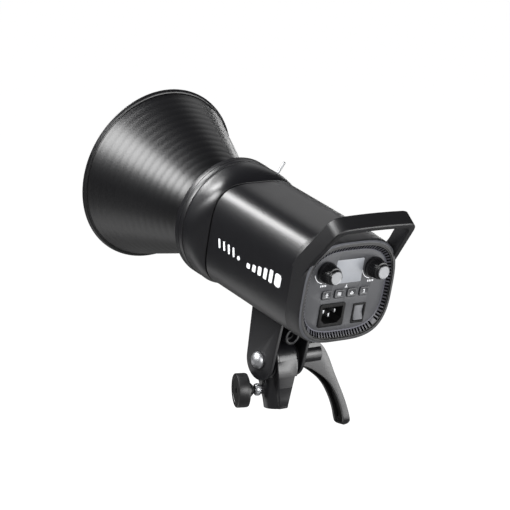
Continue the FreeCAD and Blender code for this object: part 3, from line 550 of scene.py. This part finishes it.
def turned(rings, segments=96):
    """Turns rows of (radius, height), in mm, about local Z."""
    (radius, height), rows = rings[0], rings[1:]
    deselect()
    bpy.ops.mesh.primitive_circle_add(
        vertices=segments, radius=radius * MM, fill_type="NOTHING", location=(0, 0, 0), enter_editmode=True)
    bpy.ops.mesh.select_mode(type="VERT")
    bpy.ops.mesh.select_all(action="SELECT")
    bpy.ops.transform.translate(value=(0, 0, height * MM))
    for wide, high in rows:
        bpy.ops.mesh.extrude_region_move(TRANSFORM_OT_translate={"value": (0, 0, (high - height) * MM)})
        bpy.ops.transform.resize(value=(wide / radius, wide / radius, 1), center_override=(0, 0, high * MM))
        radius, height = wide, high
    bpy.ops.mesh.select_all(action="SELECT")
    bpy.ops.mesh.remove_doubles(threshold=0.02 * MM)
    bpy.ops.mesh.normals_make_consistent(inside=False)
    bpy.ops.object.mode_set(mode="OBJECT")
    return bpy.context.object


def block(centre, size, corner=0.0, edge=0.0, turn=0.0):
    """Box about local Z, in mm, with rounded upright corners and softened rims."""
    deselect()
    bpy.ops.mesh.primitive_cube_add(size=MM, location=(0, 0, 0), enter_editmode=True)
    bpy.ops.transform.resize(value=size)
    if corner:
        pick("EDGE", lambda middle, way: abs(way.z) > 0.9)
        bpy.ops.mesh.bevel(offset=corner * MM, segments=5, affect="EDGES")
    if edge:
        pick("EDGE", lambda middle, way: abs(way.z) < 0.1)
        bpy.ops.mesh.bevel(offset=edge * MM, segments=2, affect="EDGES")
    bpy.ops.mesh.select_all(action="SELECT")
    if turn:
        bpy.ops.transform.rotate(value=math.radians(turn), orient_axis="Z", center_override=(0, 0, 0))
    bpy.ops.transform.translate(value=[value * MM for value in centre])
    bpy.ops.object.mode_set(mode="OBJECT")
    return bpy.context.object


def joined(pieces):
    activate(pieces[0])
    for piece in pieces:
        piece.select_set(True)
    bpy.ops.object.join()
    return bpy.context.object


def softened(node, width, angle=32.0, segments=2, reshape=None):
    """Copies a frame part, joins its loose triangles and rounds its edges."""
    piece = bpy.data.objects.new(node, frame["nodes"][node].data.copy())
    bpy.context.collection.objects.link(piece)
    if reshape:
        for vertex in piece.data.vertices:
            vertex.co = reshape(vertex.co / MM) * MM
    edit(piece)
    bpy.ops.mesh.select_all(action="SELECT")
    bpy.ops.mesh.remove_doubles(threshold=0.003 * MM)
    bpy.ops.mesh.dissolve_limited(angle_limit=math.radians(1.0))
    bpy.ops.object.mode_set(mode="OBJECT")
    if width:
        modify(piece, "BEVEL", width=width * MM, segments=segments, limit_method="ANGLE",
               angle_limit=math.radians(angle))
    return piece


def twin(piece):
    """A copy with its own mesh."""
    copy = piece.copy()
    copy.data = piece.data.copy()
    bpy.context.collection.objects.link(copy)
    return copy


def seat(piece, name, finish, node, place=None, stands_for=(), smooth=32.0):
    """Puts a piece in its place, gives it its finish and its body, and hides the parts it stands for."""
    activate(piece)
    piece.name = piece.data.name = name
    if place is not None:
        piece.matrix_world = place
    bpy.ops.object.transform_apply(location=True, rotation=True, scale=True)
    bpy.ops.object.shade_smooth_by_angle(angle=math.radians(smooth))
    if piece.data.materials[:1] != [FINISHES[finish]]:
        piece.data.materials.clear()
        piece.data.materials.append(FINISHES[finish])
    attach(piece, BODY[node])
    if stands_for:
        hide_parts(*stands_for)
    return piece


def coat(piece, finish, test, place=LAMP):
    """Gives some faces a second finish, chosen by middle and direction seen from a place, in mm."""
    piece.data.materials.append(FINISHES[finish])
    index = len(piece.data.materials) - 1
    inward = place.inverted()
    for face in piece.data.polygons:
        if test(inward @ face.center / MM, inward.to_3x3() @ face.normal):
            face.material_index = index


def axis_place(origin, direction):
    """Local Z along a direction from an origin."""
    turn = Vector(direction).normalized().to_track_quat("Z", "Y")
    return Matrix.Translation(Vector(origin)) @ turn.to_matrix().to_4x4()


def in_lamp(node):
    """Middle of a part in the lamp frame, in mm."""
    low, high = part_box(node)
    return LAMP.inverted() @ ((Vector(low) + Vector(high)) / 2) / MM


class MONOLIGHT_OT_housing(bpy.types.Operator):
    """Rear bezel, collar, front ring and its bands"""
    bl_idname = "monolight.housing"
    bl_label = "Housing"

    def execute(self, context):
        bezel = seat(softened("rear_cap", 1.0, segments=3), "rear_bezel", "plastic", "rear_cap",
                     stands_for=["rear_cap"])
        # painted highlight: the bezel's sloping rear edge gets the paler lip finish where it catches the light
        coat(bezel, "painted_lip_highlight", lambda middle, way: middle.z < 1.6 and -0.99 < way.z < -0.1
             and middle.xy.dot(way.xy) > 0)
        # painted shade: the bezel's inner walls round the opening are made deep black
        coat(bezel, "black", lambda middle, way: way.z > -0.3 and middle.xy.dot(way.xy) < -20.0)
        seat(softened("front_collar", 0.35), "collar_shell", "paint", "front_collar",
             stands_for=["front_collar"])
        ring = turned(RING_ROWS, 128)
        seat(ring, "mount_ring", "paint", "front_ring", LAMP, ["front_ring"])
        return {"FINISHED"}


class MONOLIGHT_OT_mark(bpy.types.Operator):
    """Generic printed mark on the housing's left side"""
    bl_idname = "monolight.mark"
    bl_label = "Side mark"

    def execute(self, context):
        side = Matrix(((0, 0, 1, SHELL_SIDE * MM), (0, 1, 0, 0), (-1, 0, 0, MARK_START * MM), (0, 0, 0, 1)))
        slanted = [block((step, 0, -0.1), (3.0, 9.5, 0.3), 1.2, turn=-18.0) for step in (4, 12, 20, 28)]
        slanted.append(block((37, -2.5, -0.1), (4.4, 4.4, 0.3), 2.1))
        seat(joined(slanted), "side_mark_small", "print", "main_shell", LAMP @ side)
        steps = [block((54 + 9 * count, count - 4, -0.1), (5.4, 5 + 2 * count, 0.3), 1.2)
                 for count in range(5)]
        steps.append(block((101, 0, -0.1), (9.6, 13.0, 0.3), 3.0))
        seat(joined(steps), "side_mark_large", "print", "main_shell", LAMP @ side)
        return {"FINISHED"}


class MONOLIGHT_OT_grille(bpy.types.Operator):
    """Cooling slots round the panel, with painted shade: deep black on their inner sides"""
    bl_idname = "monolight.grille"
    bl_label = "Cooling grille"

    def execute(self, context):
        grille = seat(softened("vent_grille", 0.12, segments=1), "cooling_grille", "fins", "vent_grille",
                      stands_for=["vent_grille"])
        # painted shade: every grille face not turned to the rear, the walls of the slots, is deep black
        coat(grille, "black", lambda middle, way: way.z > -0.25)
        return {"FINISHED"}


class MONOLIGHT_OT_panel(bpy.types.Operator):
    """Control panel, display and printed marks"""
    bl_idname = "monolight.panel"
    bl_label = "Control panel"

    def execute(self, context):
        panel = seat(softened("control_panel", 0.45), "panel_face", "panel", "control_panel",
                     stands_for=["control_panel"])
        # painted highlight: the panel's sloping outer edge gets the paler lip finish where it catches the light
        coat(panel, "painted_lip_highlight", lambda middle, way: -0.97 < way.z < -0.1 and middle.xy.length > 38.0)
        seat(softened("display_window", 0.25), "display_face", "display", "display_window",
             stands_for=["display_window"])
        for side in ("left", "right"):
            dial = in_lamp("encoder_shaft_" + side)
            for name, low, high in (("outer", 195, 262), ("inner", 278, 345)):
                arc = self.arc(12.2, 12.9, low, high, PANEL_FACE - 0.12)
                seat(arc, "dial_arc_%s_%s" % (name, side), "print", "control_panel",
                     LAMP @ Matrix.Translation((dial.x * MM, dial.y * MM, 0)))
            marks = [block((dial.x + step, dial.y - 15.2, PANEL_FACE - 0.06), (1.1, 2.0, 0.12), 0.3)
                     for step in (-3.0, -1.0, 1.0, 3.0)]
            seat(joined(marks), "dial_marks_" + side, "print", "control_panel", LAMP)
        icon = [block((0, 3.4, PANEL_FACE - 0.06), (3.4, 0.6, 0.12), 0.2),
                block((0, 4.8, PANEL_FACE - 0.06), (0.6, 2.4, 0.12), 0.2),
                block((0, 4.8, PANEL_FACE - 0.06), (2.2, 0.5, 0.12), 0.2, turn=45.0)]
        seat(joined(icon), "panel_icon", "print", "control_panel", LAMP)
        return {"FINISHED"}

    def arc(self, inner, outer, low, high, height):
        """Thin printed arc between two angles."""
        ring = turned([(inner, height), (outer, height), (outer, height + 0.1), (inner, height + 0.1),
                       (inner, height)], 120)
        edit(ring)
        pick("FACE", lambda middle, way: not low < angle_of(middle) % 360 < high)
        bpy.ops.mesh.delete(type="FACE")
        bpy.ops.mesh.select_mode(type="EDGE")
        bpy.ops.mesh.select_all(action="SELECT")
        bpy.ops.mesh.region_to_loop()
        bpy.ops.mesh.edge_face_add()
        bpy.ops.object.mode_set(mode="OBJECT")
        return ring


class MONOLIGHT_OT_dials(bpy.types.Operator):
    """Two ribbed dials with silver faces"""
    bl_idname = "monolight.dials"
    bl_label = "Dials"

    def execute(self, context):
        skirt, face = self.skirt(), turned(DIAL_FACE_ROWS, 64)
        for side in ("left", "right"):
            dial = in_lamp("encoder_shaft_" + side)
            place = LAMP @ Matrix.Translation((dial.x * MM, dial.y * MM, 0))
            seat(twin(skirt), "dial_skirt_" + side, "knob", "knob_" + side, place, ["knob_" + side])
            seat(twin(face), "dial_face_" + side, "silver", "knob_cap_" + side, place, ["knob_cap_" + side])
        for piece in (skirt, face):
            bpy.data.objects.remove(piece)
        return {"FINISHED"}

    def skirt(self):
        """Skirt whose side has ribs between pressed-in flats."""
        piece = turned(DIAL_ROWS, 120)
        edit(piece)
        pick("FACE", lambda middle, way: -8.6 < middle.z < 0.1 and middle.xy.length > 8.4
             and segment(middle, 120) % RIB_PITCH < RIB_GAP)
        bpy.ops.mesh.inset(thickness=0.04 * MM, depth=0.0, use_individual=False)
        bpy.ops.transform.resize(value=(0.925, 0.925, 1), center_override=(0, 0, 0))
        bpy.ops.object.mode_set(mode="OBJECT")
        return piece


class MONOLIGHT_OT_keys(bpy.types.Operator):
    """Four keys with generic marks"""
    bl_idname = "monolight.keys"
    bl_label = "Keys"

    def execute(self, context):
        key = self.key()
        for number, rows in KEY_MARKS.items():
            node = "button_%d" % number
            x, y = in_lamp(node).xy
            place = LAMP @ Matrix.Translation((x * MM, y * MM, 0))
            seat(twin(key), "key_%d_cap" % number, "key", node, place, [node])
            marks = [block((dx, dy, KEY_FACE + 0.2), (w, h, 0.16), 0.2, turn=turn)
                     for dx, dy, w, h, turn in rows]
            seat(joined(marks), "key_%d_mark" % number, "print", node, place)
        bpy.data.objects.remove(key)
        return {"FINISHED"}

    def key(self):
        cap = block((0, 0, (KEY_FACE + KEY_FOOT) / 2), (*KEY_SIZE, KEY_FOOT - KEY_FACE), 2.0, 0.45)
        edit(cap)
        pick("FACE", lambda middle, way: way.z < -0.99 and abs(middle.x) < 4)
        bpy.ops.mesh.inset(thickness=0.9 * MM, depth=0)
        bpy.ops.mesh.inset(thickness=0.5 * MM, depth=-0.25 * MM)
        bpy.ops.object.mode_set(mode="OBJECT")
        foot = block((0, 0, KEY_FOOT + 0.3), (*KEY_FOOT_SIZE, 1.0), 2.0, 0.2)
        return joined([cap, foot])


class MONOLIGHT_OT_power(bpy.types.Operator):
    """Mains inlet with its blades, and the rocker switch"""
    bl_idname = "monolight.power"
    bl_label = "Inlet and switch"

    def execute(self, context):
        for node, name, width, finish in (
                ("inlet_housing", "inlet_body", 0.35, "black"), ("inlet_pins", "inlet_blades", 0.3, "nickel"),
                ("rocker_frame", "rocker_bezel", 0.3, "black"),
                ("power_rocker", "rocker_paddle", 0.3, "rocker")):
            seat(softened(node, width), name, finish, node, stands_for=[node])
        return {"FINISHED"}


class MONOLIGHT_OT_handle(bpy.types.Operator):
    """Carry handle with softened edges"""
    bl_idname = "monolight.handle"
    bl_label = "Handle"

    def execute(self, context):
        seat(softened("carry_handle", 0.9, segments=3), "grip_bail", "plastic", "carry_handle",
             stands_for=["carry_handle"])
        return {"FINISHED"}


class MONOLIGHT_OT_yoke(bpy.types.Operator):
    """Yoke plates, saddle and umbrella holder"""
    bl_idname = "monolight.yoke"
    bl_label = "Yoke"

    def execute(self, context):
        for node, name, width in (
                ("yoke_plate_left", "yoke_cheek_left", 0.3), ("yoke_plate_right", "yoke_cheek_right", 0.3),
                ("yoke_base", "yoke_saddle", 0.4), ("umbrella_tube", "umbrella_holder", 0.4)):
            seat(softened(node, width), name, "texture", node, stands_for=[node])
        bolt = turned(BOLT_ROWS, 64)
        seat(bolt, "pivot_bolt_head", "bright", "pivot_bolt", axis_place(PIVOT, (1, 0, 0)), ["pivot_bolt"])
        return {"FINISHED"}


class MONOLIGHT_OT_adapter(bpy.types.Operator):
    """Stand adapter"""
    bl_idname = "monolight.adapter"
    bl_label = "Stand adapter"

    def execute(self, context):
        seat(softened("stand_adapter", 0.7, angle=28), "adapter_casting", "cast", "stand_adapter",
             stands_for=["stand_adapter"])
        (low_w, low_d), (high_w, high_d) = KEEL_FOOT, KEEL_TOP
        keel = block((0, 0, KEEL_RISE / 2), (2 * low_w, 2 * low_d, KEEL_RISE - 0.6))
        edit(keel)
        pick("FACE", lambda middle, way: way.z > 0.9)
        bpy.ops.transform.resize(
            value=(high_w / low_w, high_d / low_d, 1), center_override=(0, 0, KEEL_RISE * MM))
        pick("FACE", lambda middle, way: way.z < -0.9)
        bpy.ops.mesh.delete(type="ONLY_FACE")
        pick("EDGE", lambda middle, way: abs(way.z) > 0.7)
        bpy.ops.mesh.bevel(offset=1.3 * MM, segments=3, affect="EDGES")
        bpy.ops.object.mode_set(mode="OBJECT")
        modify(keel, "SOLIDIFY", thickness=1.2 * MM, offset=-1.0)
        seat(keel, "adapter_keel", "cast", "stand_adapter")
        return {"FINISHED"}


class MONOLIGHT_OT_lever(bpy.types.Operator):
    """Hollow lock lever"""
    bl_idname = "monolight.lever"
    bl_label = "Lock lever"

    def execute(self, context):
        lever = seat(
            softened("lock_lever", 1.2, angle=35, segments=3, reshape=self.rounded),
            "lever_casting", "cast", "lock_lever", stands_for=["lock_lever"])
        # painted shade: the inside of the arm's hollow channel is deep black
        coat(lever, "black", lambda middle, way: middle.x < -30 and abs(middle.y) < 6.4
             and (way.x > 0.25 or abs(way.y) > 0.9), Matrix.Identity(4))
        return {"FINISHED"}

    def rounded(self, place):
        """Rounds the arm's lower end across its depth."""
        below = (LEVER_TIP + LEVER_END_R - place.z) / LEVER_END_R
        if below > 0:
            place.y *= math.sqrt(max(0.0, 1 - 0.8 * min(1.0, below) ** 2))
        return place


class MONOLIGHT_OT_clamp(bpy.types.Operator):
    """Clamp wheel with its hub and ribbed ferrule"""
    bl_idname = "monolight.clamp"
    bl_label = "Clamp wheel"

    def execute(self, context):
        direction = Vector(JOINTS["clamp_turn"]["axis"])
        place = axis_place((0, 0, CLAMP_HEIGHT * MM), direction * math.copysign(1.0, direction.x))
        wheel = turned(WHEEL_ROWS, 96)
        seat(wheel, "clamp_wheel", "rubber", "clamp_knob", place, ["clamp_knob"])
        # painted shade: the wheel's outer face, which is turned away from the lights, is deep black
        coat(wheel, "black", lambda middle, way: middle.z > 40.8 and way.z > 0.9, place)
        ferrule = turned(FERRULE_ROWS, 72)
        edit(ferrule)
        pick("FACE", lambda middle, way: middle.xy.length > 5.0
             and segment(middle, 72) % FLUTE_PITCH < FLUTE_GAP)
        bpy.ops.mesh.inset(thickness=0.05 * MM, depth=0.0)
        bpy.ops.transform.resize(value=(0.86, 0.86, 0.86), center_override=(0, 0, 19.3 * MM))
        bpy.ops.object.mode_set(mode="OBJECT")
        seat(ferrule, "clamp_ferrule", "nickel", "clamp_knob", place)
        return {"FINISHED"}


class MONOLIGHT_OT_reflector(bpy.types.Operator):
    """Ridged bell, black outside and silver inside, with a rolled rim"""
    bl_idname = "monolight.reflector"
    bl_label = "Reflector"

    def execute(self, context):
        outside, inside = self.wall(0.0), self.wall(BELL_WALL)
        bell = turned([inside[0]] + outside[:-1] + RIM_ROWS + inside[::-1], 128)
        bell.data.materials.append(FINISHES["bell"])
        bell.data.materials.append(FINISHES["mirror"])
        for face in bell.data.polygons:
            out = Vector((face.center.x, face.center.y, 0)).normalized()
            face.material_index = int(face.normal.dot(out) < -0.2)
        seat(bell, "bell_wall", "bell", "reflector_bell", LAMP, ["reflector_bell"], smooth=40)
        seat(softened("reflector_flange", 0.25), "bell_flange", "paint", "reflector_flange",
             stands_for=["reflector_flange"])
        return {"FINISHED"}

    def wall(self, inset):
        """Rows of the ridged wall from the neck to the rim."""
        first, last, low, high = BELL_FIRST, BELL_LAST, BELL_NECK_R, BELL_LIP_R
        rows = [(low - inset, BELL_BACK), (low - inset, first)]
        pitch = (last - first) / BELL_RIDGES
        for ridge in range(BELL_RIDGES):
            for part in range(1, 6):
                share = part / 5
                height = first + pitch * (ridge + share)
                radius = low + (high - low) * (height - first) / (last - first)
                rows.append((radius - inset + BELL_SWELL * 4 * share * (1 - share), height))
        return rows


class MONOLIGHT_PT_panel(bpy.types.Panel):
    """Every step of the lamp, in order"""
    bl_idname = "MONOLIGHT_PT_panel"
    bl_label = "Studio Monolight"
    bl_space_type = "VIEW_3D"
    bl_region_type = "UI"
    bl_category = "Monolight"

    def draw(self, context):
        for group in (context.scene.monolight_sizes, context.scene.monolight_colours):
            for name in type(group).__annotations__:
                self.layout.prop(group, name)
        for step in STEPS:
            self.layout.operator(step.bl_idname)


# The operators, in the order that main() calls them.
STEPS = (
    MONOLIGHT_OT_stage, MONOLIGHT_OT_cad_finish, MONOLIGHT_OT_housing, MONOLIGHT_OT_mark,
    MONOLIGHT_OT_grille, MONOLIGHT_OT_panel, MONOLIGHT_OT_dials, MONOLIGHT_OT_keys, MONOLIGHT_OT_power,
    MONOLIGHT_OT_handle, MONOLIGHT_OT_yoke, MONOLIGHT_OT_adapter, MONOLIGHT_OT_lever,
    MONOLIGHT_OT_clamp, MONOLIGHT_OT_reflector)
CLASSES = (MonolightColours, MonolightSizes, *STEPS, MONOLIGHT_PT_panel)


def register():
    for item in CLASSES:
        bpy.utils.register_class(item)
    bpy.types.Scene.monolight_sizes = bpy.props.PointerProperty(type=MonolightSizes)
    bpy.types.Scene.monolight_colours = bpy.props.PointerProperty(type=MonolightColours)


def unregister():
    del bpy.types.Scene.monolight_colours
    del bpy.types.Scene.monolight_sizes
    for item in reversed(CLASSES):
        bpy.utils.unregister_class(item)


def main():
    register()
    FINISHES.update(finishes())
    bpy.ops.monolight.stage()
    bpy.ops.monolight.cad_finish()
    bpy.ops.monolight.housing()
    bpy.ops.monolight.mark()
    bpy.ops.monolight.grille()
    bpy.ops.monolight.panel()
    bpy.ops.monolight.dials()
    bpy.ops.monolight.keys()
    bpy.ops.monolight.power()
    bpy.ops.monolight.handle()
    bpy.ops.monolight.yoke()
    bpy.ops.monolight.adapter()
    bpy.ops.monolight.lever()
    bpy.ops.monolight.clamp()
    bpy.ops.monolight.reflector()


if __name__ == "__main__":
    main()
